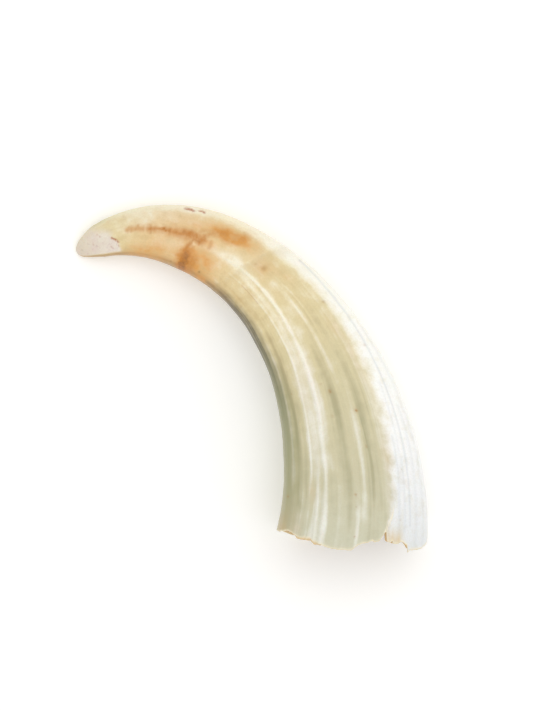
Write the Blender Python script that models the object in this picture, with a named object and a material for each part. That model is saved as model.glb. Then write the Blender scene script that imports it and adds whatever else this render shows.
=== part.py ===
"""Boar tusk, lying on its side: one curved tooth, hollow at its broken base, solid at its worn tip.

Metres, +Z up. The tusk curls in the XY plane. Its base opens towards -Y and its tip points to -X.
The origin is at the bottom centre of its box, and the tusk rests on a narrow flat along its underside.
"""

import math

import bmesh
import bpy
from mathutils import Vector

MM = 0.001

# The middle line, from the base's rim to the tip
LENGTH = 108.0 * MM
BASE_HEADING = math.radians(82.3)  # direction of growth at the rim, anticlockwise from +X
TURN = math.radians(133.0)  # how far the middle line turns on its way to the tip
TURN_SHARES = (0.76, -0.52, 0.76)  # linear, square and cubic shares of that turn

# Share of the length, breadth across the curl, thickness over breadth
STATIONS = (
    (0.0, 33.4 * MM, 0.72),
    (0.2, 29.2 * MM, 0.73),
    (0.4, 23.4 * MM, 0.75),
    (0.6, 17.9 * MM, 0.78),
    (0.75, 14.7 * MM, 0.80),
    (0.87, 10.6 * MM, 0.80),
    (0.95, 7.4 * MM, 0.78),
)
NOSE = STATIONS[-1][0]  # beyond this share the tip is a rounded nose

# The section: superellipse powers. The inner side is blunt and the outer side is rounder.
INNER_POWER = 2.8
OUTER_POWER = 1.9
REST_LEVEL = 0.97  # the underside is flat below this share of the half thickness

# Grooves along the upper face: angle from the outer edge, depth, half width, fading out tipwards
GROOVES = (
    (math.radians(74), 0.45 * MM, math.radians(8)),
    (math.radians(97), 0.40 * MM, math.radians(7)),
    (math.radians(121), 0.35 * MM, math.radians(5)),
    (math.radians(138), 0.30 * MM, math.radians(6)),
)
GROOVE_END = 0.66
GROOVE_FADE = 0.2  # share of the length over which they fade out
TWIST = math.radians(16)  # the grooves wind outwards by this much before they end
TWIST_START = 0.1

# The pulp cavity: a curved cone that opens at the base
WALL = 1.3 * MM
CAVITY_DEPTH = 58.0 * MM
CAVITY_TAPER = 1.5
CAVITY_END = 0.97  # share of the depth where the cone's blunt end begins to close

# The broken rim: angle from the outer edge, and how far that spot runs past the mean rim
RIM_POINTS = (
    (0, -1.8),
    (12, -1.6),
    (24, -0.3),
    (36, 0.5),
    (42, 0.3),
    (48, -1.2),
    (60, -0.9),
    (64, -3.0),
    (69, -0.9),
    (72, -0.5),
    (82, 0.0),
    (90, 1.7),
    (96, 2.0),
    (108, 1.6),
    (126, 0.9),
    (138, -0.3),
    (144, -0.9),
    (162, -0.3),
    (180, -0.5),
    (200, -0.9),
    (225, 0.9),
    (250, 0.3),
    (268, 0.8),
    (284, -3.6),
    (294, -4.7),
    (312, -4.7),
    (336, -2.5),
)
RIM_REACH = 12.0 * MM  # the rim's unevenness dies out over this length

# The wear facet: ground flat on the upper side of the tip
FACET_START = 0.915
FACET_REACH = 0.85  # no point below this share is ground
FACET_FALL = 0.34  # how steeply it falls towards the tip
FACET_LEAN = 0.12  # how steeply it falls towards the inner edge

SIDES = 60
OUTER_RINGS = 56
RING_CROWDING = 1.15  # above 1, the rings crowd together towards the rim
CAVITY_RINGS = 20
SPINE_FIRST = -0.05  # the middle line is walked from a little before the rim
SPINE_STEPS = 400

IVORY = (0.72, 0.66, 0.47, 1.0)
ROUGHNESS = 0.35
CREASE = math.radians(50)  # edges sharper than this are shaded sharp


def heading(share):
    """Direction of the middle line at a share of its length."""
    linear, square, cubic = TURN_SHARES
    return BASE_HEADING + TURN * (linear * share + square * share**2 + cubic * share**3)


def walk_spine(first, last):
    """Points along the middle line between two shares, the rim's centre at the origin."""
    step = (last - first) / SPINE_STEPS
    reach = abs(first) * LENGTH
    point = Vector((math.cos(heading(0)), math.sin(heading(0)), 0.0)) * -reach
    points = [point.copy()]
    for index in range(SPINE_STEPS):
        middle = heading(first + (index + 0.5) * step)
        point += Vector((math.cos(middle), math.sin(middle), 0.0)) * step * LENGTH
        points.append(point.copy())
    return points


SPINE = walk_spine(SPINE_FIRST, 1.0)


def spine_point(share):
    """A point of the middle line, read between the walked ones."""
    place = (share - SPINE_FIRST) / (1.0 - SPINE_FIRST) * SPINE_STEPS
    index = min(max(int(place), 0), SPINE_STEPS - 1)
    return SPINE[index].lerp(SPINE[index + 1], place - index)


def smooth_read(rows, column, at):
    """A column of rows at a position in the first column, by a cubic through its neighbours."""
    if at <= rows[0][0]:
        return rows[0][column]
    last = len(rows) - 1
    if at >= rows[last][0]:
        return rows[last][column]
    index = max(i for i in range(last) if rows[i][0] <= at)

    def slope(i):
        low, high = max(i - 1, 0), min(i + 1, last)
        return (rows[high][column] - rows[low][column]) / (rows[high][0] - rows[low][0])

    span = rows[index + 1][0] - rows[index][0]
    t = (at - rows[index][0]) / span
    start, end = rows[index][column], rows[index + 1][column]
    return (
        (2 * t**3 - 3 * t**2 + 1) * start
        + (t**3 - 2 * t**2 + t) * span * slope(index)
        + (3 * t**2 - 2 * t**3) * end
        + (t**3 - t**2) * span * slope(index + 1)
    )


def half_breadth(share):
    """Half the breadth across the curl: the stations, then the rounded nose."""
    rounding = 1.0
    if share > NOSE:
        rounding = math.sqrt(max(0.0, 1.0 - (share - NOSE) / (1.0 - NOSE)))
    return smooth_read(STATIONS, 1, share) / 2 * rounding


def half_thickness(share):
    """Half the thickness from the underside to the top."""
    return half_breadth(share) * smooth_read(STATIONS, 2, share)


def section(angle):
    """A unit section: across, +1 at the outer edge, and up, +1 on top and flat underneath."""
    power = OUTER_POWER if math.cos(angle) > 0 else INNER_POWER
    across = math.copysign(abs(math.cos(angle)) ** (2 / power), math.cos(angle))
    up = math.copysign(abs(math.sin(angle)) ** (2 / power), math.sin(angle))
    return across, max(up, -REST_LEVEL)


def smooth_step(low, high, value):
    """0 below low, 1 above high, and an easy rise between them."""
    t = min(max((value - low) / (high - low), 0.0), 1.0)
    return t * t * (3 - 2 * t)


def groove_depth(angle, share):
    """Depth of the grooves at a spot. They wind outwards and fade out before the tip."""
    climb = max(0.0, (share - TWIST_START) / (GROOVE_END - TWIST_START))
    turned = angle + TWIST * climb**2
    fading = 1.0 - smooth_step(GROOVE_END - GROOVE_FADE, GROOVE_END, share)
    depth = sum(deep * math.exp(-(((turned - at) / wide) ** 2)) for at, deep, wide in GROOVES)
    return depth * fading


def rim_offset(angle):
    """How far the broken rim runs past its mean line at an angle, in straight runs."""
    degrees = math.degrees(angle) % 360
    closed = RIM_POINTS + ((360, RIM_POINTS[0][1]),)
    for (low, start), (high, end) in zip(closed, closed[1:]):
        if degrees <= high:
            return (start + (end - start) * (degrees - low) / (high - low)) * MM
    return 0.0


def uneven_share(angle, share):
    """A share moved so that the first stretch follows the broken rim."""
    hold = max(0.0, 1.0 - share * LENGTH / RIM_REACH)
    return share - rim_offset(angle) / LENGTH * hold


def facet_height(point):
    """Height of the wear facet's plane above a point of the floor."""
    start = spine_point(FACET_START)
    along = heading(FACET_START)
    offset = point - start
    ahead = offset.x * math.cos(along) + offset.y * math.sin(along)
    inward = -offset.x * math.sin(along) + offset.y * math.cos(along)
    top = half_thickness(FACET_START) * (1 + REST_LEVEL)
    return top - FACET_FALL * ahead - FACET_LEAN * inward


def place(angle, share, breadth, thickness, sunk=0.0):
    """A point of a section with the given half sizes, at a share of the length."""
    across, up = section(angle)
    along = heading(share)
    outwards = Vector((math.sin(along), -math.cos(along), 0.0))
    point = spine_point(share) + outwards * across * breadth
    point.z = half_thickness(share) * REST_LEVEL + up * thickness - sunk * max(up, 0.0)
    return point


def outer_point(angle, share):
    """A point of the outside, with the grooves, the uneven rim and the wear facet."""
    moved = uneven_share(angle, share)
    sunk = groove_depth(angle, share)
    point = place(angle, moved, half_breadth(moved), half_thickness(moved), sunk)
    if share > FACET_REACH:
        point.z = max(min(point.z, facet_height(point)), 0.0)
    return point


def cavity_point(angle, share):
    """A point of the pulp cavity's wall."""
    moved = uneven_share(angle, share)
    depth = min(max(moved * LENGTH / CAVITY_DEPTH, 0.0), 1.0)
    taper = 1.0 - depth**CAVITY_TAPER
    breadth = (half_breadth(0) - WALL) * taper
    thickness = (half_thickness(0) - WALL) * taper
    return place(angle, moved, breadth, thickness)


def add_ring(bm, ring, turn, where):
    """Extrude a ring of edges and put the new points where the function says."""
    grown = bmesh.ops.extrude_edge_only(bm, edges=ring)["geom"]
    for vert in (item for item in grown if isinstance(item, bmesh.types.BMVert)):
        vert.co = where(vert[turn])
    return [item for item in grown if isinstance(item, bmesh.types.BMEdge) and item.is_boundary]


def close_ring(bm, ring, centre):
    """Close a ring of edges with a fan to one point."""
    grown = bmesh.ops.extrude_edge_only(bm, edges=ring)["geom"]
    verts = [item for item in grown if isinstance(item, bmesh.types.BMVert)]
    bmesh.ops.pointmerge(bm, verts=verts, merge_co=centre)


def make_tusk_mesh():
    """One skin: from the cavity's blunt end out to the rim, then along the outside to the tip."""
    bm = bmesh.new()
    turn = bm.verts.layers.float.new("turn")
    cavity_share = CAVITY_DEPTH * CAVITY_END / LENGTH
    bmesh.ops.create_circle(bm, segments=SIDES, radius=1.0)
    for vert in bm.verts:
        vert[turn] = math.atan2(vert.co.y, vert.co.x)
        vert.co = cavity_point(vert[turn], cavity_share)
    first = list(bm.edges)
    ring = first
    for index in range(1, CAVITY_RINGS + 1):
        share = cavity_share * (1 - index / CAVITY_RINGS)
        ring = add_ring(bm, ring, turn, lambda angle: cavity_point(angle, share))
    for index in range(OUTER_RINGS):
        share = math.sin(math.pi / 2 * index / OUTER_RINGS) ** RING_CROWDING
        ring = add_ring(bm, ring, turn, lambda angle: outer_point(angle, share))
    tip = spine_point(1.0)
    close_ring(bm, ring, tip)
    end = spine_point(CAVITY_DEPTH / LENGTH)
    end.z = half_thickness(CAVITY_DEPTH / LENGTH) * REST_LEVEL
    close_ring(bm, first, end)
    bmesh.ops.recalc_face_normals(bm, faces=bm.faces)
    mesh = bpy.data.meshes.new("tusk")
    bm.to_mesh(mesh)
    bm.free()
    return mesh


def centre_on_floor(mesh):
    """Move the mesh so that the origin is at the bottom centre of its box."""
    axes = [[vert.co[axis] for vert in mesh.vertices] for axis in range(3)]
    middle = [(min(values) + max(values)) / 2 for values in axes]
    shift = Vector((middle[0], middle[1], min(axes[2])))
    for vert in mesh.vertices:
        vert.co -= shift


def ivory_material():
    """Cream enamel, softly polished."""
    material = bpy.data.materials.new("tusk_enamel")
    material.use_nodes = True
    shader = material.node_tree.nodes["Principled BSDF"]
    shader.inputs["Base Color"].default_value = IVORY
    shader.inputs["Roughness"].default_value = ROUGHNESS
    shader.inputs["Metallic"].default_value = 0.0
    return material


def main():
    for thing in list(bpy.data.objects):
        bpy.data.objects.remove(thing, do_unlink=True)
    mesh = make_tusk_mesh()
    centre_on_floor(mesh)
    mesh.materials.append(ivory_material())
    mesh.shade_smooth()
    mesh.set_sharp_from_angle(angle=CREASE)
    tusk = bpy.data.objects.new("tusk", mesh)
    bpy.context.scene.collection.objects.link(tusk)


main()
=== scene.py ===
import bmesh
import bpy
import numpy as np
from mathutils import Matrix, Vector, noise


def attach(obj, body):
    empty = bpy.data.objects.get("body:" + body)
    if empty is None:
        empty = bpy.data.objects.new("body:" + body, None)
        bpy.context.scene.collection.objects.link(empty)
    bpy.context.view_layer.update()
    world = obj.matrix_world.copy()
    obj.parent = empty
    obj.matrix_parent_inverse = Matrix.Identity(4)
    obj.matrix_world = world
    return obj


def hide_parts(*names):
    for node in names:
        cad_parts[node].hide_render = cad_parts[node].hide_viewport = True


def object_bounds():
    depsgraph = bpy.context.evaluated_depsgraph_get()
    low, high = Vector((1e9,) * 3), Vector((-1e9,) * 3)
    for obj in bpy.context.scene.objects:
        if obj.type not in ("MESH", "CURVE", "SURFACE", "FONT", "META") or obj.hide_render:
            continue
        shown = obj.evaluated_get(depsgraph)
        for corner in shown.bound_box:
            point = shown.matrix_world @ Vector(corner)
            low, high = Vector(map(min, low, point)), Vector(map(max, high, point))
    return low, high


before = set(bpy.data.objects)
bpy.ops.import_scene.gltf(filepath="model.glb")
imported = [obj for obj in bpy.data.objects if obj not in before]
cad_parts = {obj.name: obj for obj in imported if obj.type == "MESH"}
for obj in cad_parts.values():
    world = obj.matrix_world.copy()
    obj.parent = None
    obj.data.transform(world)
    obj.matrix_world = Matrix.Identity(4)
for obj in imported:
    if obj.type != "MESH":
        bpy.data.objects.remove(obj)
cadLow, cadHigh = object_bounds()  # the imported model's box

mm = 0.001  # the tusk is shaped in millimetres and scaled to metres at the end


def smoothStep(low, high, value):
    t = np.clip((value - low) / (high - low), 0.0, 1.0)
    return t * t * (3 - 2 * t)


def mix(first, second, share):
    return first + (second - first) * share


def smoothRead(rows, at):
    # a smooth curve through a few (position, value) points, read at an array of positions
    xs = np.array([row[0] for row in rows], float)
    ys = np.array([row[1] for row in rows], float)
    at = np.clip(at, xs[0], xs[-1])
    low = np.maximum(np.arange(len(xs)) - 1, 0)
    high = np.minimum(np.arange(len(xs)) + 1, len(xs) - 1)
    slopes = (ys[high] - ys[low]) / (xs[high] - xs[low])
    i = np.clip(np.searchsorted(xs, at, side="right") - 1, 0, len(xs) - 2)
    span = xs[i + 1] - xs[i]
    t = (at - xs[i]) / span
    return (
        (2 * t**3 - 3 * t**2 + 1) * ys[i]
        + (t**3 - 2 * t**2 + t) * span * slopes[i]
        + (3 * t**2 - 2 * t**3) * ys[i + 1]
        + (t**3 - t**2) * span * slopes[i + 1]
    )


def noiseAt(points, size, octaves=2, shift=0.0):
    # smooth noise of about -1 to 1 whose lumps are "size" across
    return np.array([
        noise.fractal(Vector(point) / size + Vector((shift, shift, shift)), 0.8, 2.1, octaves)
        for point in points
    ])


tusk = {
    "length": 108.0,  # mm along the middle line, from the rim to the tip
    "baseHeading": 82.3,  # degrees, anticlockwise from +X
    "turn": 133.0,  # degrees that the middle line turns through
    "turnShares": (0.76, -0.52, 0.76),  # linear, square and cubic shares of the turn
    "breadth": ((0, 33.4), (0.2, 29.2), (0.4, 23.4), (0.6, 17.9), (0.75, 14.7), (0.87, 10.6), (0.95, 7.4)),
    "flatness": ((0, 0.72), (0.2, 0.73), (0.4, 0.75), (0.6, 0.78), (0.75, 0.8), (0.87, 0.8), (0.95, 0.78)),
    "noseFrom": 0.95,  # share of the length where the tip starts to round off
    "innerPower": 2.8,  # the section's inner side is blunt
    "outerPower": 1.9,  # and its outer side rounder
    "restLevel": 0.97,  # the underside is flat below this share of the half thickness
    "wall": 1.3,  # mm of wall at the broken base
    "enamelDepth": 0.3,  # mm of enamel over the dentine
    "cavityDepth": 58.0,  # mm of hollow
    "cavityTaper": 1.5,
    "twist": 15.0,  # degrees that the fibres have turned round the tusk by 0.6 of the length
    "unroll": 13.0,  # mm, the radius of the cylinder that the fibres are followed on
    "ring": (0.632, 0.033),  # share where the growth ring lies, and how much nearer the base it is outside
    # the plane that wear ground at the tip: mm high at this share, mm it falls for a mm ahead or inward
    "facet": {"from": 0.905, "height": 7.45, "fall": 0.46, "lean": 0.2},
    "lumps": (9.0, 0.10),  # mm across and mm high: gentle lumps, dimples, fibres and the facet's roughness
    "dimples": (2.2, 0.035),
    "fibres": (1.1, 0.035),
    "rubbed": (0.8, 0.03),
    "ragged": ((1.1, 0.12), (0.4, 0.11)),  # the break's coarse and fine raggedness, mm across and mm deep
    "rimRadius": 14.0,  # mm, the circle that the raggedness is laid round
    "breakReach": 20.0,  # mm behind the break over which the rows of the mesh straighten out
    "hollowFolds": 0.06,  # mm high
    "hollowRings": 0.04,
    "meanFlatness": 0.75,  # for spacing the mesh's columns evenly round the section
    "weld": 0.002,  # mm under which neighbouring vertices merge
    "sliver": 0.0005,  # mm under which an edge collapses
    "sides": 300,
    "outsideRows": 286,
    "breakRows": 9,
    "cavityRows": 30,
}

# How far the break runs past the mean rim, in mm, by the angle from the outer edge. The enamel
# and the dentine under it broke along slightly different lines, and a notch splits the rim at 64 degrees.
enamelBreak = (
    (0, -2.2), (11, -1.3), (24, -0.4), (38.3, 0.1), (41, 0.55), (41.9, -0.65), (45.3, -1.15), (49, -1.4),
    (52, -0.85), (56, -0.8), (57.4, -1.45), (58.8, -0.85), (61.7, -1.05), (62.3, -1.9), (63, -3.3),
    (64, -3.0), (66, -2.0), (67.7, -1.35), (69, -0.95), (72, -0.6), (74, -0.9), (77.5, -0.4), (81, -0.1),
    (84.8, 0.35), (87.6, 0.95), (90, 1.7), (93, 2.0), (98, 2.0), (104, 1.75), (108.5, 1.3), (111, 1.1),
    (114, 0.8), (116, 0.25), (121, 0.4), (127, 0.45), (133, 0.15), (135, -0.15), (138, -0.4), (145, -0.95),
    (152, -0.6), (160, -0.25), (180, -0.2), (196, -1.1), (208, 0.2), (225, 0.9), (238, -0.2), (252, 0.5),
    (268, 0.8), (276, -1.5), (283, -3.6), (292, -4.8), (300, -4.4), (312, -4.7), (322, -3.4), (334, -2.6),
    (345, -2.2), (360, -2.2),
)
dentineBreak = (
    (0, -2.4), (11, -1.6), (24, -0.7), (38, -0.1), (41, -0.8), (45, -1.35), (49, -1.5), (52, -0.9),
    (56, -0.85), (57.4, -1.6), (58.8, -0.9), (61.7, -1.2), (63, -3.5), (66, -2.3), (69, -1.3), (77, -0.7),
    (85, 0.1),
    (90, 1.3), (98, 1.6), (104, 1.45), (107, 1.5), (109, 1.75), (113, 1.65), (115, 1.25), (116, 0.8),
    (121, 0.95), (127, 1.05), (132, 0.95), (134, 0.25), (138, -0.65), (145, -1.2), (160, -0.5), (180, -0.6),
    (208, 0.0), (225, 0.7), (252, 0.3), (268, 0.5), (276, -1.9), (284, -4.0), (292, -5.1), (312, -5.0),
    (322, -3.8), (334, -2.9), (345, -2.5), (360, -2.4),
)

# Ridges and grooves of the upper face. path: (share of the length, place across from -1 at the
# inner edge to 1 at the outer edge); height in mm; width across; tone: 1 pale, -1 olive; span of shares
ridges = (
    dict(path=((0, -0.42), (0.1, -0.41), (0.3, -0.35), (0.4, -0.29), (0.5, -0.2), (0.6, -0.13), (0.68, -0.1)),
         height=0.22, width=0.036, tone=0.8, span=(0.0, 0.7)),
    dict(path=((0, -0.515), (0.1, -0.51), (0.2, -0.47)),
         height=0.14, width=0.018, tone=0.7, span=(0.0, 0.19)),
    dict(path=((0.1, -0.45), (0.3, -0.44), (0.45, -0.37), (0.6, -0.27)),
         height=0.08, width=0.090, tone=0.5, span=(0.14, 0.68)),
    dict(path=((0.12, -0.3), (0.25, -0.31), (0.4, -0.27), (0.5, -0.19), (0.6, -0.12)),
         height=0.06, width=0.070, tone=0.5, span=(0.12, 0.7)),
    dict(path=((0, -0.3), (0.15, -0.26)),
         height=0.03, width=0.080, tone=0.06, span=(0.0, 0.17)),
    dict(path=((0.05, -0.65), (0.1, -0.635), (0.2, -0.6), (0.3, -0.57), (0.45, -0.48), (0.6, -0.4)),
         height=0.12, width=0.024, tone=0.6, span=(0.07, 0.68)),
    dict(path=((0, -0.74), (0.1, -0.725), (0.2, -0.7), (0.3, -0.68)),
         height=0.07, width=0.022, tone=0.4, span=(0.0, 0.3)),
    dict(path=((0.1, -0.86), (0.3, -0.84), (0.4, -0.81), (0.5, -0.765), (0.6, -0.72)),
         height=0.13, width=0.028, tone=0.6, span=(0.1, 0.58)),
    # a broad olive band with only a slight dip: painted shade that carries the inner edge's shading further
    # across
    dict(path=((0.05, -0.72), (0.6, -0.7)),
         height=-0.03, width=0.090, tone=-0.42, span=(0.05, 0.66)),
    dict(path=((0, -0.9), (0.3, -0.92), (0.5, -0.9)),
         height=-0.12, width=0.042, tone=-0.9, span=(0.0, 0.5)),
    dict(path=((0, -0.69), (0.1, -0.78), (0.2, -0.78), (0.35, -0.76), (0.5, -0.7)),
         height=-0.12, width=0.035, tone=-0.9, span=(0.04, 0.5)),
    dict(path=((0, -0.6), (0.15, -0.56)),
         height=-0.05, width=0.022, tone=-0.45, span=(0.02, 0.16)),
    dict(path=((0, -0.09), (0.2, -0.08), (0.35, -0.07), (0.5, -0.04)),
         height=-0.20, width=0.055, tone=-0.6, span=(0.01, 0.45)),
    dict(path=((0.1, -0.19), (0.3, -0.17)),
         height=-0.03, width=0.030, tone=-0.35, span=(0.1, 0.3)),
    dict(path=((0, 0.12), (0.25, 0.12), (0.4, 0.11), (0.5, 0.13), (0.6, 0.17)),
         height=0.17, width=0.055, tone=0.6, span=(0.02, 0.62)),
    dict(path=((0, 0.045), (0.1, 0.04)),
         height=0.08, width=0.016, tone=0.75, span=(0.0, 0.09)),
    dict(path=((0, 0.23), (0.1, 0.25), (0.3, 0.29), (0.45, 0.31), (0.6, 0.36)),
         height=-0.20, width=0.062, tone=-0.42, span=(0.0, 0.5)),
    dict(path=((0.03, 0.27), (0.2, 0.265), (0.3, 0.27)),
         height=-0.06, width=0.016, tone=-0.6, span=(0.05, 0.3)),
    dict(path=((0.05, 0.35), (0.2, 0.36)),
         height=-0.03, width=0.022, tone=-0.4, span=(0.05, 0.22)),
    dict(path=((0.4, 0.24), (0.6, 0.27)),
         height=0.05, width=0.022, tone=0.4, span=(0.42, 0.62)),
    dict(path=((0, 0.47), (0.2, 0.45), (0.4, 0.55), (0.6, 0.62)),
         height=0.10, width=0.070, tone=0.1, span=(0.0, 0.6)),
    dict(path=((0.03, 0.75), (0.2, 0.785), (0.3, 0.82), (0.4, 0.865), (0.5, 0.9), (0.6, 0.94)),
         height=-0.12, width=0.013, tone=0.0, span=(0.04, 0.6)),
)

# The same kind of list for the underside, plainer: a place across, height, width, tone
undersideRidges = (
    (-0.82, 0.25, 0.05, 0.4), (-0.62, -0.25, 0.06, -0.6), (-0.42, 0.22, 0.05, 0.5), (0.38, 0.24, 0.05, 0.6),
    (0.55, -0.28, 0.07, -0.5), (0.72, 0.2, 0.05, 0.3),
)


# What age, soil and wear left on the surface, kept as attributes of the mesh
marks = {
    # where the cream face turns into the outer side, white partly from bleaching and partly as painted light:
    # (share, place across)
    "bleachedAndLitSide": ((0, 0.46), (0.04, 0.46), (0.065, 0.5), (0.1, 0.51), (0.15, 0.53), (0.2, 0.56), (0.25, 0.58),
                 (0.3, 0.61), (0.4, 0.66), (0.5, 0.7), (0.62, 0.72), (0.7, 0.82), (0.8, 0.81), (0.9, 0.82)),
    # blue-grey hairlines down the outer side: points, width in mm, strength
    "sideLines": (
        (((0.04, 0.755), (0.2, 0.785), (0.3, 0.82), (0.4, 0.865), (0.5, 0.905), (0.56, 0.94)), 0.2, 0.65),
        (((0.02, 0.6), (0.1, 0.62), (0.2, 0.66)), 0.35, 0.45), (((0.03, 0.68), (0.16, 0.71)), 0.3, 0.4),
        (((0.0, 0.83), (0.25, 0.88)), 0.3, 0.35), (((0.1, 0.66), (0.3, 0.75)), 0.25, 0.3),
        (((0.01, 0.93), (0.4, 0.96)), 0.3, 0.3),
    ),
    # brown stains as strokes: points of (share, place across), width in mm, strength
    "stains": (
        (((0.757, -1.0), (0.754, -0.8), (0.755, -0.6)), 1.5, 1.0),
        (((0.755, -0.6), (0.757, -0.45)), 1.2, 0.8),
        (((0.735, -0.9), (0.738, -0.6)), 1.3, 0.5),
        (((0.757, -0.5), (0.758, -0.35), (0.752, -0.15), (0.749, 0.05)), 0.6, 0.62),
        (((0.743, -0.45), (0.745, -0.2)), 0.5, 0.35),
        (((0.735, -0.02), (0.75, 0.02), (0.758, 0.16)), 0.8, 0.62),
        (((0.735, 0.05), (0.75, 0.1), (0.77, 0.1)), 1.2, 0.6),
        (((0.726, 0.08), (0.731, 0.22)), 0.5, 0.55),
        (((0.745, 0.12), (0.775, 0.06), (0.8, 0.1), (0.82, 0.13), (0.84, 0.11)), 0.75, 0.55),
        (((0.855, 0.12), (0.885, 0.14)), 0.7, 0.4),
        (((0.76, 0.04), (0.8, 0.08), (0.83, 0.12)), 1.5, 0.28),
        (((0.765, -0.02), (0.8, 0.04)), 0.9, 0.35),
        (((0.808, 0.08), (0.814, 0.17)), 0.45, 0.8),
        (((0.878, 0.04), (0.882, 0.22)), 0.4, 0.42),
        (((0.838, -0.04), (0.84, 0.26)), 0.4, 0.45),
        (((0.862, 0.1), (0.864, 0.26)), 0.35, 0.4),
        (((0.73, 0.18), (0.722, 0.3), (0.71, 0.42), (0.695, 0.5)), 1.0, 0.38),
        (((0.745, 0.2), (0.735, 0.34), (0.7, 0.52), (0.66, 0.62)), 0.6, 0.28),
        (((0.69, 0.4), (0.66, 0.6)), 1.6, 0.26),
        (((0.712, -0.05), (0.714, 0.12)), 0.5, 0.35),
    ),
    # broad warm clouds: (share, across), half size in mm along and across, strength
    "clouds": (
        ((0.675, 0.5), 4.5, 1.6, 0.95), ((0.71, 0.45), 3.0, 1.1, 0.5), ((0.75, 0.4), 2.4, 0.8, 0.3),
        ((0.73, -0.75), 3.6, 2.4, 1.0), ((0.735, -0.35), 3.6, 2.0, 0.6), ((0.755, -0.6), 2.0, 2.6, 0.7),
        ((0.85, -0.85), 6.0, 1.5, 0.65), ((0.785, 0.07), 5.5, 1.1, 0.5), ((0.87, 0.13), 2.2, 0.9, 0.35),
        ((0.69, -0.9), 6.0, 1.2, 0.25),
        ((0.6, 0.25), 2.4, 1.8, 0.35), ((0.56, 0.45), 2.0, 1.0, 0.2), ((0.82, -0.5), 6.0, 2.0, 0.4),
        ((0.78, 0.55), 4.0, 1.6, 0.2), ((0.015, -0.96), 2.6, 0.7, 0.16), ((0.02, -0.75), 3.0, 1.0, 0.12),
        ((0.66, 0.62), 3.5, 1.6, 0.45), ((0.71, -0.6), 3.2, 3.0, 0.6), ((0.72, 0.05), 2.4, 1.4, 0.35),
        ((0.17, 0.52), 3.0, 1.1, 0.1), ((0.36, 0.56), 6.0, 1.2, 0.1), ((0.43, 0.52), 2.0, 1.0, 0.12),
        ((0.1, -0.6), 3.0, 1.0, 0.12),
    ),
    # paler patches, listed the same way
    "palePatches": (
        # the first two patches, by the growth ring, are a painted highlight
        ((0.665, -0.03), 3.4, 1.0, 0.9), ((0.64, -0.08), 2.5, 0.9, 0.6), ((0.65, 0.12), 1.6, 1.6, 0.3),
        ((0.618, 0.35), 1.4, 2.0, 0.3), ((0.79, 0.6), 6.0, 1.5, 0.3), ((0.86, 0.6), 6.0, 2.4, 0.5),
        ((0.765, 0.88), 3.2, 0.9, 0.85),
        ((0.79, -0.3), 2.6, 1.2, 0.35), ((0.705, -0.1), 3.0, 0.6, 0.45),
    ),
    # small spots: (share, across), radius in mm, how much longer across than along, strength
    "spots": (
        ((0.315, -0.08), 0.26, 0.9, 1.0), ((0.262, 0.23), 0.29, 0.9, 1.0), ((0.264, -0.16), 0.21, 0.9, 0.5),
        ((0.097, 0.01), 0.22, 0.9, 0.9), ((0.475, 0.66), 0.36, 0.9, 0.5), ((0.19, 0.245), 0.24, 0.5, 0.6),
        ((0.597, 0.25), 0.5, 1.3, 0.5), ((0.013, 0.02), 0.18, 0.6, 0.6), ((0.096, -0.93), 0.27, 0.6, 0.6),
        ((0.71, -0.8), 0.24, 0.9, 0.9), ((0.785, -0.87), 0.19, 0.9, 0.5), ((0.335, -0.18), 0.21, 0.9, 0.35),
        ((0.05, 0.63), 0.14, 0.8, 0.4), ((0.14, 0.69), 0.16, 0.8, 0.4), ((0.43, 0.6), 0.19, 0.9, 0.4),
        ((0.34, -0.72), 0.14, 0.6, 0.4), ((0.615, 0.2), 0.3, 1.0, 0.25), ((0.58, -0.8), 0.24, 0.9, 0.4),
        ((0.17, 0.92), 0.13, 0.8, 0.35), ((0.073, 0.02), 0.16, 0.9, 0.35), ((0.37, 0.83), 0.24, 0.9, 0.35),
    ),
    # red-brown pits and nicks that are sunk a little, as strokes: points, width in mm, strength
    "pits": (
        (((0.745, 0.87), (0.749, 0.91), (0.755, 0.89)), 0.26, 0.8),
        (((0.765, 0.86), (0.771, 0.9), (0.779, 0.89)), 0.32, 0.9),
        (((0.909, -0.36), (0.913, -0.22), (0.921, -0.08)), 0.24, 0.9),
        (((0.912, -0.62), (0.91, -0.5)), 0.16, 0.4),
        (((0.924, -0.62), (0.927, -0.5)), 0.28, 0.35),
        (((0.943, 0.15), (0.946, 0.4)), 0.16, 0.4),
        (((0.962, -0.15), (0.96, 0.05)), 0.2, 0.35),
    ),
    # two fine checks along the grain, listed the same way
    "checks": (
        (((0.555, -0.46), (0.585, -0.44), (0.612, -0.42)), 0.15, 0.32),
        (((0.565, -0.4), (0.6, -0.385)), 0.14, 0.22),
    ),
    # the flake's crack, which climbs on from the break along the edge of the cream face
    "crack": ((0.028, 0.415), (0.038, 0.45), (0.05, 0.49), (0.064, 0.522), (0.08, 0.53), (0.16, 0.53)),
    "crackWidth": 0.18,  # mm
    "flakeSunk": 0.14,  # mm
    "ringStep": 0.05,  # mm
    "ringWidth": (1.6, 0.35),  # mm that the ring's colour spreads to the base side and to the tip side
    "pitDepth": 0.16,  # mm
    "spotDepth": 0.08,  # mm
    "crackLift": 0.06,  # mm that the crack's edge stands up
    "wobble": (3.0, 0.9),  # mm across the coarse and fine noise that roughens every mark's outline
    "halo": (2.4, 0.16),  # how much wider and fainter a spot's halo is than the spot
    "wornFrom": 0.907,  # share of the length where the facet's worn colour starts
    "paleEdge": 0.35,  # mm of pale enamel along the break
    "tanReach": (2.6, 1.2),  # mm that the tan of the break spreads, beside the notch and at the inner corner
}


def headingAt(share):
    linear, square, cubic = tusk["turnShares"]
    turned = tusk["turn"] * (linear * share + square * share**2 + cubic * share**3)
    return np.radians(tusk["baseHeading"] + turned)


spineShares = np.linspace(-0.06, 1.0, 2001)


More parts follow.
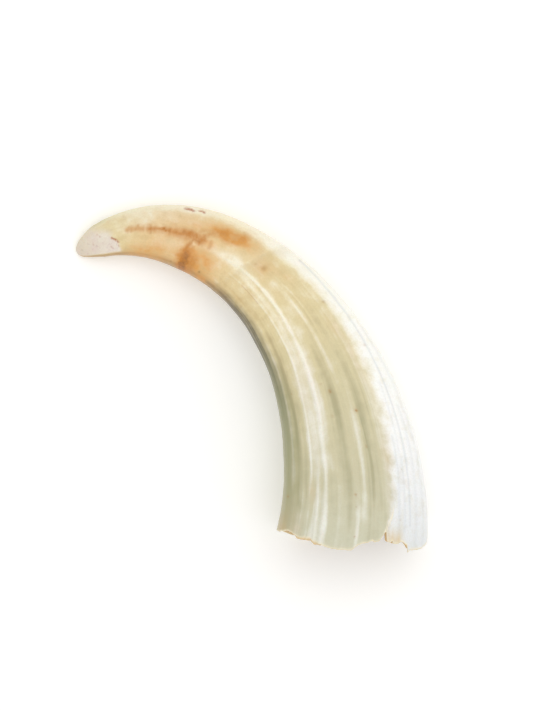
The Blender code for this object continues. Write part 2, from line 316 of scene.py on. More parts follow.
def walkSpine():
    # the middle line as X and Y at even steps, with 0 at the rim
    step = spineShares[1] - spineShares[0]
    middles = headingAt((spineShares[1:] + spineShares[:-1]) / 2)
    x = np.concatenate([[0], np.cumsum(np.cos(middles))]) * step * tusk["length"]
    y = np.concatenate([[0], np.cumsum(np.sin(middles))]) * step * tusk["length"]
    return x - np.interp(0, spineShares, x), y - np.interp(0, spineShares, y)


spineX, spineY = walkSpine()


def halfBreadth(share):
    nose = tusk["noseFrom"]
    rounding = np.sqrt(np.clip(1 - (share - nose) / (1 - nose), 0, 1))
    return smoothRead(tusk["breadth"], share) / 2 * np.where(share > nose, rounding, 1.0)


def halfThickness(share):
    return halfBreadth(share) * smoothRead(tusk["flatness"], share)


def section(angle):
    # a unit section: across, 1 at the outer edge, and up, 1 on top
    cos, sin = np.cos(angle), np.sin(angle)
    power = np.where(cos > 0, tusk["outerPower"], tusk["innerPower"])
    across = np.sign(cos) * np.abs(cos) ** (2 / power)
    up = np.sign(sin) * np.abs(sin) ** (2 / power)
    return across, up


def evenAngles(column):
    # angles that split the section's outline into equal lengths, from below and round by the outer edge
    fine = np.radians(np.linspace(-90, 270, 7201))
    across, up = section(fine)
    arc = np.concatenate([[0], np.cumsum(np.hypot(np.diff(across), tusk["meanFlatness"] * np.diff(up)))])
    return np.interp(column, arc / arc[-1], fine)


def fadeIn(share, span, soft=0.05):
    start, end = span
    opening = smoothStep(start - 0.001, start + soft, share) if start > 0 else 1.0
    return opening * (1 - smoothStep(end - soft * 1.6, end, share))


def ridgeSum(share, across, up, key):
    # all the ridges summed, by height or by tone; each wavers a little in place, width and strength
    total = np.zeros_like(share)
    onTop = smoothStep(-0.05, 0.2, up)
    for i, ridge in enumerate(ridges):
        waver = np.sin(share * 23 + 2.1 * i) + 0.6 * np.sin(share * 51 + 3.7 * i)
        place = smoothRead(ridge["path"], share) + 0.006 * waver
        away = (across - place) / (ridge["width"] * (1 + 0.18 * np.sin(share * 37 + 1.3 * i)))
        strength = ridge[key] * (1 + 0.16 * np.sin(share * 41 + 4.9 * i) + 0.1 * waver)
        total += strength * np.exp(-(away**2)) * fadeIn(share, ridge["span"]) * onTop
    below = smoothStep(0.05, -0.3, up) * smoothStep(-1.0, -0.93, up) * (1 - smoothStep(0.45, 0.65, share))
    for place, height, width, tone in undersideRidges:
        away = (across - place - 0.2 * np.clip(share - 0.1, 0, 1)) / width
        total += (height if key == "height" else tone) * np.exp(-(away**2)) * below
    return total


def growthLine(share, across):
    # mm past the change of growth that rings the tusk two thirds of the way up
    place, lean = tusk["ring"]
    return (share - place + lean * across) * tusk["length"]


def alongFibres(angle, share, stretch):
    # a place that runs round and along the tusk with its fibres, which twist a little
    twisted = angle + np.radians(tusk["twist"]) * np.clip((share - 0.1) / 0.5, 0, 1.3) ** 2
    return np.stack([np.cos(twisted) * tusk["unroll"], np.sin(twisted) * tusk["unroll"], share * stretch], 1)


def runPast(rows, angle):
    # mm that the break runs past the mean rim
    degrees = np.degrees(angle) % 360
    rim = np.stack([np.cos(angle) * tusk["rimRadius"], np.sin(angle) * tusk["rimRadius"], 0 * angle], 1)
    (coarse, deep), (fine, shallow) = tusk["ragged"]
    rough = deep * noiseAt(rim, coarse, 3) + shallow * noiseAt(rim, fine, 2, 4.0)
    return np.interp(degrees, *zip(*rows)) + rough


def facetPlane(x, y):
    # height of the plane that wear has ground across the tip
    facet = tusk["facet"]
    along = headingAt(facet["from"])
    dx = x - np.interp(facet["from"], spineShares, spineX)
    dy = y - np.interp(facet["from"], spineShares, spineY)
    ahead = dx * np.cos(along) + dy * np.sin(along)
    inward = -dx * np.sin(along) + dy * np.cos(along)
    return facet["height"] - facet["fall"] * ahead - facet["lean"] * inward


def shapeTusk(share, angle, depth, outside):
    # places every vertex: share along the middle line, angle round it, depth under the surface
    across, up = section(angle)
    breadth, thickness = halfBreadth(share), halfThickness(share)
    level = thickness * tusk["restLevel"]
    lean = np.hypot(across * thickness, up * breadth) + 1e-6
    normalAcross, normalUp = across * thickness / lean, up * breadth / lean

    # ridges and grooves, then a shallow line and a step at the growth ring
    spot = np.stack([np.cos(angle) * breadth, np.sin(angle) * thickness, share * tusk["length"]], 1)
    rise = ridgeSum(share, across, up, "height") * smoothStep(0.0, 6.0, breadth)
    rise -= marks["ringStep"] * np.exp(-((growthLine(share, across) / 0.6) ** 2))
    rise += marks["ringStep"] * smoothStep(0.3, 0.0, growthLine(share, across))

    # the flake past the crack has sunk a little
    pastCrack = smoothStep(0.0, 0.025, across - np.interp(share, *zip(*marks["crack"])))
    flake = pastCrack * smoothStep(0.16, 0.08, share) * smoothStep(0.95, 0.7, across) * (up > 0)
    rise -= marks["flakeSunk"] * flake

    # lumps, dimples and fibres; no relief reaches the flat underside, the break's wall or the very tip
    lump, lumpRise = tusk["lumps"]
    dimple, dimpleRise = tusk["dimples"]
    fibre, fibreRise = tusk["fibres"]
    rise += lumpRise * noiseAt(spot, lump) + dimpleRise * noiseAt(spot, dimple, 2, 7.0)
    combed = noiseAt(alongFibres(angle, share, 6), fibre, 3)
    rise += fibreRise * combed * (1 - 0.6 * smoothStep(0.6, 0.75, share))
    rise = rise * smoothStep(-0.995, -0.9, up) * outside * smoothStep(1.0, 0.97, share)

    offsetAcross = across * (breadth - depth) + normalAcross * rise
    offsetUp = np.maximum(up, -tusk["restLevel"]) * (thickness - depth) + normalUp * rise
    along = headingAt(share)
    x = np.interp(share, spineShares, spineX) + np.sin(along) * offsetAcross
    y = np.interp(share, spineShares, spineY) - np.cos(along) * offsetAcross
    z = level + offsetUp
    rubbed, rubbedRise = tusk["rubbed"]
    ground = facetPlane(x, y) + rubbedRise * noiseAt(spot, rubbed, 2, 3.0)
    worn = (outside > 0.5) & (share > 0.85) & (z > ground)
    z = np.where(worn, ground, z)
    return np.stack([x, y, np.maximum(z, 0.0)], 1)


def tuskRows():
    # one row of the sheet for each step from the end of the hollow, over the break, to the tip; rows
    # lie closer together towards the break, and again at the tip
    length, depth = tusk["length"], tusk["cavityDepth"]
    rows = []
    for i in range(tusk["cavityRows"]):
        rows.append(("hollow", depth / length * (1 - i / tusk["cavityRows"]) ** 1.3))
    for i in range(tusk["breakRows"] + 1):
        rows.append(("break", i / tusk["breakRows"]))
    for i in range(1, tusk["outsideRows"] + 1):
        t = i / tusk["outsideRows"]
        rows.append(("outside", 1 - (1 - (0.45 * t + 0.55 * t**1.6)) ** 1.25))
    return rows


def layOut(rows, column, row):
    # what every vertex stands for: its share, angle, depth and zone, how wide the hollow still is there,
    # how many mm it is from the break, and how bare the break is
    angle = evenAngles(column)
    enamelEdge, dentineEdge = runPast(enamelBreak, angle), runPast(dentineBreak, angle)
    zone = np.array([rows[i][0] for i in row])
    value = np.array([rows[i][1] for i in row])
    length = tusk["length"]

    # on the break the rows cross the dentine first, then climb to the enamel's edge
    cross, climb = np.clip(value / 0.4, 0, 1), np.clip((value - 0.4) / 0.5, 0, 1)
    pastRim = mix(dentineEdge, enamelEdge, climb)
    breakShare = -pastRim / length
    breakDepth = mix(tusk["wall"], tusk["enamelDepth"], cross) * np.where(value > 0.95, 0.0, 1.0)

    edge = np.where(zone == "outside", enamelEdge, dentineEdge)
    hold = np.clip(1 - value * length / tusk["breakReach"], 0, 1) ** 2
    share = np.where(zone == "break", breakShare, value - edge / length * hold)

    taper = 1 - np.clip(share * length / tusk["cavityDepth"], 0, 1) ** tusk["cavityTaper"]
    depth = np.where(zone == "break", breakDepth, 0.0)
    fromEdge = np.where(zone == "outside", value * length, 0.0)
    bare = np.where(zone == "break", 1 - 0.75 * climb, 0.0)  # tan dentine, then the enamel's pale edge
    return share, angle, depth, zone, taper, fromEdge, bare


def shapeHollow(share, angle, taper):
    # the wall of the hollow: a curved cone, with rings of growth and a few lengthways folds
    across, up = section(angle)
    zero = np.zeros_like(share)
    breadth = (halfBreadth(zero) - tusk["wall"]) * taper
    thickness = (halfThickness(zero) - tusk["wall"]) * taper
    spot = np.stack([np.cos(angle) * breadth, np.sin(angle) * thickness, share * tusk["length"]], 1)
    fold = tusk["hollowFolds"] * noiseAt(np.stack([np.cos(angle) * 5, np.sin(angle) * 5, share * 4], 1), 1.2)
    ring = tusk["hollowRings"] * np.sin(share * tusk["length"] * 2.4 + 1.5 * noiseAt(spot, 6.0))
    swell = 1 + (fold + ring) / np.maximum(thickness, 1.5)
    along = headingAt(share)
    x = np.interp(share, spineShares, spineX) + np.sin(along) * across * breadth * swell
    y = np.interp(share, spineShares, spineY) - np.cos(along) * across * breadth * swell
    z = halfThickness(share) * tusk["restLevel"] + np.maximum(up, -tusk["restLevel"]) * thickness * swell
    return np.stack([x, y, z], 1)


# attributes that the shape leaves on its vertices, and those that the material reads
vertexMarks = ("along", "round", "inHollow", "onBreak", "fromEdge")
surfaceMarks = (
    "along", "inHollow", "onBreak", "tone", "bleachedAndLitSide", "innerShade", "sideLines", "stain", "clouds",
    "palePatches", "dots", "pits", "edgeLine", "growth", "worn", "breakEdge", "tanEdge",
)


def makeTusk():
    rows = tuskRows()
    bm = bmesh.new()
    bm.loops.layers.uv.new("OFBake")
    bmesh.ops.create_grid(bm, x_segments=tusk["sides"], y_segments=len(rows) - 1, size=1.0, calc_uvs=True)
    layers = {name: bm.verts.layers.float.new(name) for name in vertexMarks}
    bm.verts.ensure_lookup_table()
    flat = np.array([vert.co[:] for vert in bm.verts])
    column = (flat[:, 0] + 1) / 2
    row = np.rint((flat[:, 1] + 1) / 2 * (len(rows) - 1)).astype(int)
    share, angle, depth, zone, taper, fromEdge, bare = layOut(rows, column, row)
    places = shapeTusk(share, angle, depth, np.where(zone == "hollow", 0.0, smoothStep(0.35, 0.0, depth)))
    places[zone == "hollow"] = shapeHollow(share, angle, taper)[zone == "hollow"]
    for i, vert in enumerate(bm.verts):
        vert.co = places[i]
        vert[layers["along"]] = share[i]
        vert[layers["round"]] = angle[i]
        vert[layers["inHollow"]] = float(zone[i] == "hollow")
        vert[layers["onBreak"]] = bare[i]
        vert[layers["fromEdge"]] = fromEdge[i]
    bmesh.ops.remove_doubles(bm, verts=bm.verts, dist=tusk["weld"])
    bmesh.ops.dissolve_degenerate(bm, edges=bm.edges, dist=tusk["sliver"])
    bmesh.ops.recalc_face_normals(bm, faces=bm.faces)
    bmesh.ops.scale(bm, vec=(mm, mm, mm), verts=bm.verts)
    low = Vector([min(vert.co[axis] for vert in bm.verts) for axis in range(3)])
    high = Vector([max(vert.co[axis] for vert in bm.verts) for axis in range(3)])
    shift = (cadLow + cadHigh - low - high) / 2
    shift.z = cadLow.z - low.z
    bmesh.ops.translate(bm, vec=shift, verts=bm.verts)
    mesh = bpy.data.meshes.new("tuskTooth")
    bm.to_mesh(mesh)
    bm.free()
    mesh.shade_smooth()
    piece = bpy.data.objects.new("tuskTooth", mesh)
    bpy.context.scene.collection.objects.link(piece)
    return piece


tuskPiece = makeTusk()
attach(tuskPiece, "root")
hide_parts("tusk")
print("tusk shaped:", len(tuskPiece.data.polygons), "faces")


def strokeDistance(share, across, breadth, points):
    # mm from each vertex to a stroke of straight runs
    nearest = np.full_like(share, 1e3)
    for (s0, a0), (s1, a1) in zip(points, points[1:]):
        runX, runY = (s1 - s0) * tusk["length"], (a1 - a0) * breadth
        x, y = (share - s0) * tusk["length"], (across - a0) * breadth
        t = np.clip((x * runX + y * runY) / (runX**2 + runY**2 + 1e-9), 0, 1)
        nearest = np.minimum(nearest, np.hypot(x - t * runX, y - t * runY))
    return nearest


def paint(mesh, name, values):
    layer = mesh.attributes.new(name, "FLOAT", "POINT")
    layer.data.foreach_set("value", np.asarray(values, np.float32))


def markTusk(mesh):
    # lays every mark on the mesh as an attribute, and sinks the pits
    count = len(mesh.vertices)
    read = {}
    for name in vertexMarks:
        read[name] = np.zeros(count, np.float32)
        mesh.attributes[name].data.foreach_get("value", read[name])
    share, angle = read["along"].astype(float), read["round"].astype(float)
    outer = (read["inHollow"] < 0.5).astype(float)
    across, up = section(angle)
    breadth = np.maximum(halfBreadth(share), 0.3)
    onTop = smoothStep(-0.1, 0.1, up)
    length = tusk["length"]
    spot = np.stack([across * breadth, up * breadth, share * length], 1)
    coarse, fine = marks["wobble"]
    wobble = noiseAt(spot, coarse, 3)
    ragged = noiseAt(spot, fine, 2, 5.0)

    paint(mesh, "tone", ridgeSum(share, across, up, "tone") * outer)

    # the outer side's white comes partly from bleaching and partly as painted light on the side that the
    # light falls on
    edge = smoothRead(marks["bleachedAndLitSide"], share) + 0.03 * wobble + 0.02 * ragged
    soft = 0.04 + 0.10 * smoothStep(0.04, 0.09, share) + 0.03 * smoothStep(0.1, 0.3, share)
    paleUnder = smoothStep(0.62, 0.85, across + 0.06 * wobble)
    pale = mix(paleUnder, smoothStep(-soft, soft, across - edge), onTop)
    paint(mesh, "bleachedAndLitSide", pale * outer)
    shadeFrom = mix(-0.66, -0.73, smoothStep(0.35, 0.5, share))
    shade = smoothStep(shadeFrom, -1.0, across + 0.03 * wobble) * outer
    paint(mesh, "innerShade", shade)

    lines = np.zeros(count)
    for points, width, strength in marks["sideLines"]:
        away = strokeDistance(share, across, breadth, points) / (width * (1 + 0.3 * wobble))
        lines = np.maximum(lines, strength * np.exp(-(away**2)))
    paint(mesh, "sideLines", lines * onTop * outer)

    stain = np.zeros(count)
    for points, width, strength in marks["stains"]:
        away = strokeDistance(share, across, breadth, points) / (width * (1 + 0.45 * wobble + 0.25 * ragged))
        stain = np.maximum(stain, strength * np.exp(-(away**2)))
    paint(mesh, "stain", stain * onTop * outer)

    for kind in ("clouds", "palePatches"):
        cloud = np.zeros(count)
        for (s, a), longways, sideways, strength in marks[kind]:
            away = np.hypot((share - s) * length / longways, (across - a) * breadth / sideways)
            cloud += strength * np.exp(-(away**2)) * (1 + 0.5 * wobble + 0.2 * ragged)
        paint(mesh, kind, np.clip(cloud, 0, 1) * onTop * outer)

    dots = np.zeros(count)
    wider, fainter = marks["halo"]
    for (s, a), radius, stretch, strength in marks["spots"]:
        away = np.hypot((share - s) * length, (across - a) * breadth / stretch) / radius
        dots = np.maximum(dots, strength * (np.exp(-(away**2)) + fainter * np.exp(-((away / wider) ** 2))))
    paint(mesh, "dots", dots * onTop * outer)

    pits = np.zeros(count)
    for points, width, strength in marks["pits"] + marks["checks"]:
        away = strokeDistance(share, across, breadth, points) / (width * (1 + 0.3 * ragged))
        pits = np.maximum(pits, strength * np.exp(-(away**2)))
    pits = pits * onTop * outer
    paint(mesh, "pits", pits)

    crack = np.exp(-((strokeDistance(share, across, breadth, marks["crack"]) / marks["crackWidth"]) ** 2))
    crack *= smoothStep(0.085, 0.055, share)
    paint(mesh, "edgeLine", crack * onTop * outer)
    beforeRing = growthLine(share, across + 0.15 * wobble) + 0.5
    ringWidth = np.where(beforeRing < 0, *marks["ringWidth"])
    paint(mesh, "growth", np.exp(-((beforeRing / ringWidth) ** 2)) * outer)

    # the facet's colour starts crisply on its inner side and fades in on its outer side
    wornSoft = 0.005 + 0.022 * smoothStep(-0.1, 0.6, across)
    later = 0.014 * smoothStep(-0.4, 0.0, across) + 0.03 * smoothStep(0.1, 0.8, across)
    worn = smoothStep(-wornSoft, wornSoft, share - (marks["wornFrom"] + later - 0.006 * wobble))
    paint(mesh, "worn", worn * smoothStep(0.1, 0.4, up) * smoothStep(-0.9, -0.75, across) * outer)

    fromEdge = read["fromEdge"]
    paint(mesh, "breakEdge", np.exp(-((fromEdge / marks["paleEdge"]) ** 2)) * (1 - read["onBreak"]) * outer)
    besideNotch = smoothStep(0.42, 0.47, across) * smoothStep(0.72, 0.6, across)
    innerCorner = 0.15 * smoothStep(-0.75, -0.85, across)
    notchReach, cornerReach = marks["tanReach"]
    tanEdge = np.exp(-((fromEdge / notchReach) ** 2)) * besideNotch
    tanEdge += np.exp(-((fromEdge / cornerReach) ** 2)) * innerCorner
    paint(mesh, "tanEdge", tanEdge * onTop * outer)

    grain = mesh.attributes.new("grain", "FLOAT_VECTOR", "POINT")
    grain.data.foreach_set("vector", alongFibres(angle, share, length).astype(np.float32).ravel())

    # sink the pits, checks and spots, and lift the crack's edge
    normals = np.zeros(count * 3, np.float32)
    mesh.vertices.foreach_get("normal", normals)
    places = np.zeros(count * 3, np.float32)
    mesh.vertices.foreach_get("co", places)
    move = marks["crackLift"] * crack - marks["spotDepth"] * dots
    move = (move * onTop * outer - marks["pitDepth"] * pits) * mm
    places += normals * np.repeat(move, 3).astype(np.float32)
    mesh.vertices.foreach_set("co", places)
    mesh.update()


markTusk(tuskPiece.data)
print("marks laid")


def linear(hexText):
    # an sRGB hex colour as linear numbers
    parts = [int(hexText[i:i + 2], 16) / 255 for i in (0, 2, 4)]
    return tuple(v / 12.92 if v <= 0.04045 else ((v + 0.055) / 1.055) ** 2.4 for v in parts) + (1.0,)


def addNode(tree, kind, settings=(), links=()):
    # a node with its settings; links gives its sockets a value, another node or a node's output
    node = tree.nodes.new(kind)
    for name, value in dict(settings).items():
        setattr(node, name, value)
    for name, value in dict(links).items():
        if isinstance(value, bpy.types.Node):
            value = next(socket for socket in value.outputs if socket.enabled)
        if isinstance(value, bpy.types.NodeSocket):
            tree.links.new(value, node.inputs[name])
        else:
            node.inputs[name].default_value = value
    return node


enamelFinish = {
    "ior": 1.62,  # enamel is mostly apatite
    "roughness": 0.36,
    "polish": (-0.06, 0.08),  # added to the roughness where the grit pattern is low, and where it is high
    "gritSpan": (0.3, 0.7),  # values of the grit pattern that count as low and high
    "bumpHeight": 0.09 * mm,
    "bumpStrength": 0.35,
    "subsurface": 0.12,  # light soaks a little way into the enamel, and red light furthest
    "subsurfaceRadius": (1.0, 0.7, 0.4),
    "subsurfaceReach": 1.2 * mm,
    "patternSpan": (0.32, 0.68),  # values of a pattern that count as low and high for a layer's gain
    "streakFade": (0.3, 0.66),  # shares between which the streaks change from the base's to the tip's
    "fibreFade": ((0.58, 0.68), (0.6, 0.06)),  # shares that the fibres' relief fades between, its strengths
    # colours by the share of the length, from the base to the tip
    "ramps": {
        # the body darkens and greys towards the base, partly painted light falloff along the length
        "body": ((0.0, "c8c7ae"), (0.15, "c9c3a2"), (0.35, "d3c9a0"), (0.5, "dfcf9f"), (0.62, "e2cd9b"),
                 (0.68, "e6cc98"), (0.82, "e8c994"), (0.9, "e4d2a0")),
        "pale": ((0.0, "e6e6dc"), (0.2, "ecebe0"), (0.35, "f1ece0"), (0.5, "f8f2dc"), (0.64, "f8f1d6")),
        "olive": ((0.0, "b0ac8c"), (0.25, "aba680"), (0.45, "c0b185"), (0.62, "cbac72")),
        "inner": ((0.0, "b9ae86"), (0.1, "a29f75"), (0.2, "96966b"), (0.32, "838459"), (0.5, "4d471e"),
                  (0.6, "5b4c22"), (0.7, "a07b3c"), (0.85, "b38a50")),
        # side and sideEdge: the outer side's white, partly bleaching and partly painted light
        "side": ((0.0, "e2e6e8"), (0.1, "f0f2f3"), (0.2, "fafbfa"), (0.4, "fcfcf6"), (0.6, "fbf7e7"),
                 (0.68, "faf0d2"), (0.78, "f5ecd0"), (0.88, "f0e9c6"), (0.94, "d6cc9c")),
        "sideEdge": ((0.0, "ddd7c8"), (0.15, "e5dfd2"), (0.3, "f1e9cb"), (0.6, "f2e8c2"), (0.8, "efe1bc")),
        "facet": ((0.9, "ece3d5"), (0.94, "eae1d1"), (0.99, "dfd3bd")),
        "hollow": ((0.0, "b99b70"), (0.3, "7f6344")),
    },
    # noise patterns: space, size in mm, how it is stretched, detail
    "patterns": {
        "fibres": ("grain", 0.55, (1, 1, 60), 3.0),  # the lengthways fibres that show on the surface
        "bands": ("grain", 1.4, (1, 1, 36), 2.0),
        "wideBands": ("grain", 3.2, (1, 1, 22), 2.0),
        "growthLines": ("grain", 1.2, (3, 3, 0.7), 3.0),  # fine growth lines across the fibres
        "mottle": ("place", 2.4, (1, 1, 1), 4.0),
        "specks": ("place", 0.9, (1, 1, 1), 3.0),
        "grit": ("place", 0.35, (1, 1, 1), 2.0),
    },
    # how strongly each pattern streaks the tone, towards the base and towards the tip
    "streaks": (("fibres", 0.8, 0.1), ("bands", 1.6, 0.35), ("wideBands", 1.5, 0.6), ("mottle", 0.8, 2.2)),
    # colour laid over colour: what it follows, the span of values it comes in over, its strength, and the
    # pattern that breaks it up, with the gain where that pattern is low and high
    "layers": (
        dict(follow="tone", span=(0.06, 1.0), strength=1.0, colour="pale"),
        dict(follow="tone", span=(-0.06, -1.0), strength=1.0, colour="olive"),
        dict(follow="innerShade", span=(0.0, 1.0), strength=1.0, colour="inner",
             pattern="bands", gain=(0.75, 1.4)),
        # the outer side's white: partly bleached, partly painted light
        dict(follow="bleachedAndLitSide", span=(0.0, 0.5), strength=0.6, colour="sideEdge",
             pattern="mottle", gain=(0.5, 1.4)),
        dict(follow="bleachedAndLitSide", span=(0.3, 1.0), strength=1.0, colour="side",
             pattern="mottle", gain=(0.8, 1.2)),
        dict(follow="sideLines", span=(0.0, 1.0), strength=0.65, colour="c2c9d0",
             pattern="fibres", gain=(0.7, 1.2)),
        dict(follow="palePatches", span=(0.0, 1.0), strength=1.0, colour="f7f0d8", pattern="mottle",
             gain=(0.5, 1.1)),
        dict(follow="clouds", span=(0.0, 1.0), strength=0.85, colour="dc9630",
             pattern="mottle", gain=(0.45, 1.25)),
        dict(follow="stain", span=(0.04, 0.7), strength=0.94, colour="c07600",
             pattern="growthLines", gain=(0.75, 1.25)),
        dict(follow="stain", span=(0.6, 1.25), strength=0.85, colour="854c00",
             pattern="specks", gain=(0.7, 1.3)),
        dict(follow="growth", span=(0.0, 1.0), strength=0.2, colour="bfa56c",
             pattern="mottle", gain=(0.5, 1.2)),
        dict(follow="worn", span=(0.0, 1.0), strength=1.0, colour="facet"),
        dict(follow="worn", span=(0.2, 1.0), strength=0.7, colour="dfcbc2",
             pattern="mottle", gain=(0.0, 0.9)),
        dict(follow="worn", span=(0.85, 1.15), strength=0.3, colour="b08f8b",
             pattern="specks", gain=(0.0, 1.1)),
        dict(follow="dots", span=(0.0, 1.0), strength=0.85, colour="a26d10"),
        dict(follow="pits", span=(0.1, 0.8), strength=0.85, colour="ac5410", pattern="grit", gain=(0.7, 1.1)),
        dict(follow="tanEdge", span=(0.0, 1.0), strength=0.9, colour="dac7a2",
             pattern="bands", gain=(0.4, 1.3)),
        dict(follow="edgeLine", span=(0.0, 1.0), strength=0.9, colour="f8eed6"),
        dict(follow="breakEdge", span=(0.0, 1.0), strength=0.8, colour="f3e8cb",
             pattern="specks", gain=(0.6, 1.2)),
        dict(follow="inHollow", span=(0.0, 1.0), strength=1.0, colour="hollow"),
        dict(follow="onBreak", span=(0.0, 0.2), strength=1.0, colour="efe3c6"),
        dict(follow="onBreak", span=(0.3, 0.9), strength=1.0, colour="d9b985"),
        dict(follow="grit", span=(0.35, 0.75), strength=0.14, colour="b39f74"),
    ),
    "rougher": (("worn", 0.12), ("bleachedAndLitSide", 0.1), ("inHollow", 0.3), ("onBreak", 0.3), ("pits", 0.2)),
    "relief": (("growthLines", 0.12), ("grit", 0.25), ("specks", 0.12)),
}


def makeEnamel():
    # tusk enamel, grown in lengthways fibres and polished by handling: hard and waxy, with soft wide
    # highlights, greenish cream where it is clean, soaked with soil near the tip, and white down one side,
    # partly bleached and partly painted light
    finish = enamelFinish
    material = bpy.data.materials.new("tuskEnamel")
    material.use_nodes = True
    tree = material.node_tree
    tree.nodes.clear()

    # "grain" unrolls the tusk along its fibres and "place" is the plain position, both in mm
    objectPlace = addNode(tree, "ShaderNodeTexCoord").outputs["Object"]
    spaces = {
        "grain": addNode(tree, "ShaderNodeAttribute", {"attribute_name": "grain"}).outputs["Vector"],
        "place": addNode(tree, "ShaderNodeMapping", (), {"Vector": objectPlace, "Scale": (1 / mm,) * 3}),
    }
    values = {}
    for name, (space, size, stretch, detail) in finish["patterns"].items():
        scale = tuple(1 / (size * part) for part in stretch)
        scaled = addNode(tree, "ShaderNodeMapping", (), {"Vector": spaces[space], "Scale": scale})
        values[name] = addNode(tree, "ShaderNodeTexNoise", (), {
            "Vector": scaled, "Scale": 1.0, "Detail": detail,
        })
    for name in surfaceMarks:
        values[name] = addNode(tree, "ShaderNodeAttribute", {"attribute_name": name}).outputs["Fac"]

    ramps = {}
    for name, stops in finish["ramps"].items():
        ramps[name] = addNode(tree, "ShaderNodeValToRGB", (), {"Fac": values["along"]})
        elements = ramps[name].color_ramp.elements
        while len(elements) < len(stops):
            elements.new(0.5)
        for element, (position, colour) in zip(elements, stops):
            element.position = position
            element.color = linear(colour)

    # ridges are paler and grooves keep more of the olive; the patterns streak both
    fadeFrom, fadeTo = finish["streakFade"]
    for name, nearBase, nearTip in finish["streaks"]:
        centred = addNode(tree, "ShaderNodeMath", {"operation": "SUBTRACT"}, {0: values[name], 1: 0.5})
        strength = addNode(tree, "ShaderNodeMapRange", (), {
            "Value": values["along"], "From Min": fadeFrom, "From Max": fadeTo,
            "To Min": nearBase, "To Max": nearTip,
        })
        values["tone"] = addNode(tree, "ShaderNodeMath", {"operation": "MULTIPLY_ADD"}, {
            0: centred, 1: strength, 2: values["tone"],
        })

    colour = ramps["body"]
    patternLow, patternHigh = finish["patternSpan"]
    for layer in finish["layers"]:
        factor = values[layer["follow"]]
        if "pattern" in layer:
            low, high = layer["gain"]
            gain = addNode(tree, "ShaderNodeMapRange", (), {
                "Value": values[layer["pattern"]], "From Min": patternLow, "From Max": patternHigh,
                "To Min": low, "To Max": high,
            })
            factor = addNode(tree, "ShaderNodeMath", {"operation": "MULTIPLY"}, {0: factor, 1: gain})
        start, end = layer["span"]
        factor = addNode(tree, "ShaderNodeMapRange", (), {
            "Value": factor, "From Min": start, "From Max": end, "To Max": layer["strength"],
        })
        over = ramps.get(layer["colour"]) or linear(layer["colour"])
        colour = addNode(tree, "ShaderNodeMix", {"data_type": "RGBA"}, {0: factor, 6: colour, 7: over})

    (gritLow, gritHigh), (smoother, duller) = finish["gritSpan"], finish["polish"]
    rough = addNode(tree, "ShaderNodeMapRange", (), {
        "Value": values["grit"], "From Min": gritLow, "From Max": gritHigh,
        "To Min": finish["roughness"] + smoother, "To Max": finish["roughness"] + duller,
    })
    for name, amount in finish["rougher"]:
        rough = addNode(tree, "ShaderNodeMath", {"operation": "MULTIPLY_ADD"}, {
            0: values[name], 1: amount, 2: rough,
        })

    # fibres stand out on the grooved part, and hardly past the growth ring
    (fadeFrom, fadeTo), (before, after) = finish["fibreFade"]
    fade = addNode(tree, "ShaderNodeMapRange", (), {
        "Value": values["along"], "From Min": fadeFrom, "From Max": fadeTo, "To Min": before, "To Max": after,
    })
    height = addNode(tree, "ShaderNodeMath", {"operation": "MULTIPLY"}, {0: values["fibres"], 1: fade})
    for name, amount in finish["relief"]:
        height = addNode(tree, "ShaderNodeMath", {"operation": "MULTIPLY_ADD"}, {
            0: values[name], 1: amount, 2: height,
        })
    bump = addNode(tree, "ShaderNodeBump", (), {
        "Strength": finish["bumpStrength"], "Distance": finish["bumpHeight"], "Height": height,
    })

    shader = addNode(tree, "ShaderNodeBsdfPrincipled", (), {
        "Base Color": colour, "Roughness": rough, "Normal": bump, "IOR": finish["ior"],
        "Subsurface Weight": finish["subsurface"], "Subsurface Radius": finish["subsurfaceRadius"],
        "Subsurface Scale": finish["subsurfaceReach"],
    })
    addNode(tree, "ShaderNodeOutputMaterial", (), {"Surface": shader})
    return material


tuskPiece.data.materials.append(makeEnamel())
print("enamel finished")


studio = {
    "floorColour": "fdfdfc",
    "floorRoughness": 0.9,
    "floorSize": 3.0,  # metres
    "floorGlow": 0.10,  # the board is lit a little from below, which keeps the shadows pale
    "airColour": "fbfaf8",
    "airStrength": 0.73,
    "keyFrom": (0.30, 0.12, 0.30),  # metres from the tusk's middle
    "keyPower": 0.36,  # watts
    "keySize": 0.6,  # metres
    "fillFrom": (-0.10, -0.05, 0.75),
    "fillPower": 2.55,
    "fillSize": 1.3,
    "lens": 300.0,  # mm
    "sensor": 36.0,
    "clipStart": 0.01,  # metres
    "frameHeight": 0.1568,  # metres of floor seen from top to bottom of the view
    "offCentre": (0.0034, 0.0049),  # metres from the tusk's middle to the middle of the view
}


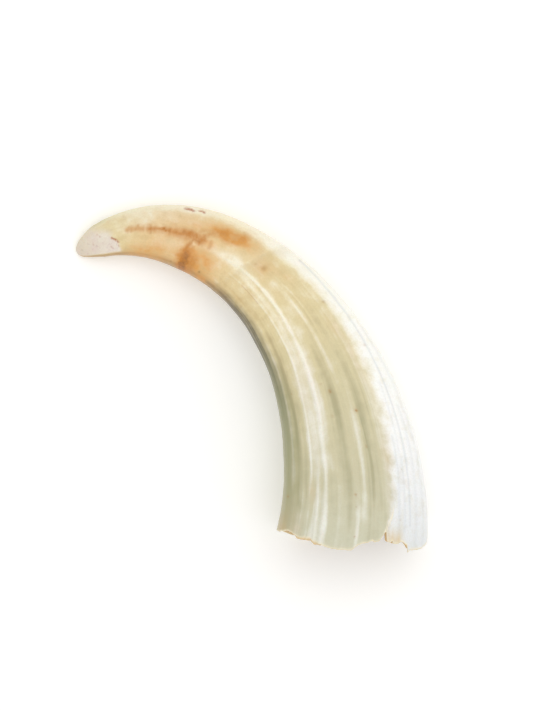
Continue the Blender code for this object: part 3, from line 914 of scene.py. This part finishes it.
def makeFloor():
    bm = bmesh.new()
    bmesh.ops.create_grid(bm, x_segments=4, y_segments=4, size=studio["floorSize"] / 2)
    mesh = bpy.data.meshes.new("floor")
    bm.to_mesh(mesh)
    bm.free()
    # opal acrylic, like a light table's board: matt, with no sheen, so the tusk's shadow is pale and soft
    material = bpy.data.materials.new("opalAcrylic")
    material.use_nodes = True
    shader = material.node_tree.nodes["Principled BSDF"]
    shader.inputs["Base Color"].default_value = linear(studio["floorColour"])
    shader.inputs["Roughness"].default_value = studio["floorRoughness"]
    shader.inputs["Emission Color"].default_value = linear(studio["floorColour"])
    shader.inputs["Emission Strength"].default_value = studio["floorGlow"]
    mesh.materials.append(material)
    floor = bpy.data.objects.new("floor", mesh)
    bpy.context.scene.collection.objects.link(floor)


def addLight(name, place, target, power, size):
    light = bpy.data.lights.new(name, "AREA")
    light.shape = "DISK"
    light.size = size
    light.energy = power
    lamp = bpy.data.objects.new(name, light)
    lamp.location = place
    lamp.rotation_euler = (target - place).to_track_quat("-Z", "Y").to_euler()
    bpy.context.scene.collection.objects.link(lamp)


def lightTheTusk():
    middle = (cadLow + cadHigh) / 2
    addLight("key", middle + Vector(studio["keyFrom"]), middle, studio["keyPower"], studio["keySize"])
    addLight("fill", middle + Vector(studio["fillFrom"]), middle, studio["fillPower"], studio["fillSize"])
    world = bpy.data.worlds.new("studioAir")
    world.use_nodes = True
    background = world.node_tree.nodes["Background"]
    background.inputs["Color"].default_value = linear(studio["airColour"])
    background.inputs["Strength"].default_value = studio["airStrength"]
    bpy.context.scene.world = world
    bpy.context.scene.view_settings.view_transform = "Standard"


def placeCamera():
    camera = bpy.data.cameras.new("overhead")
    camera.lens = studio["lens"]
    camera.sensor_width = studio["sensor"]
    camera.clip_start = studio["clipStart"]
    rig = bpy.data.objects.new("overhead", camera)
    middle = (cadLow + cadHigh) / 2
    distance = studio["lens"] / studio["sensor"] * studio["frameHeight"]
    rig.location = middle + Vector((*studio["offCentre"], distance))
    bpy.context.scene.collection.objects.link(rig)
    bpy.context.scene.camera = rig


makeFloor()
lightTheTusk()
placeCamera()
print("studio set")
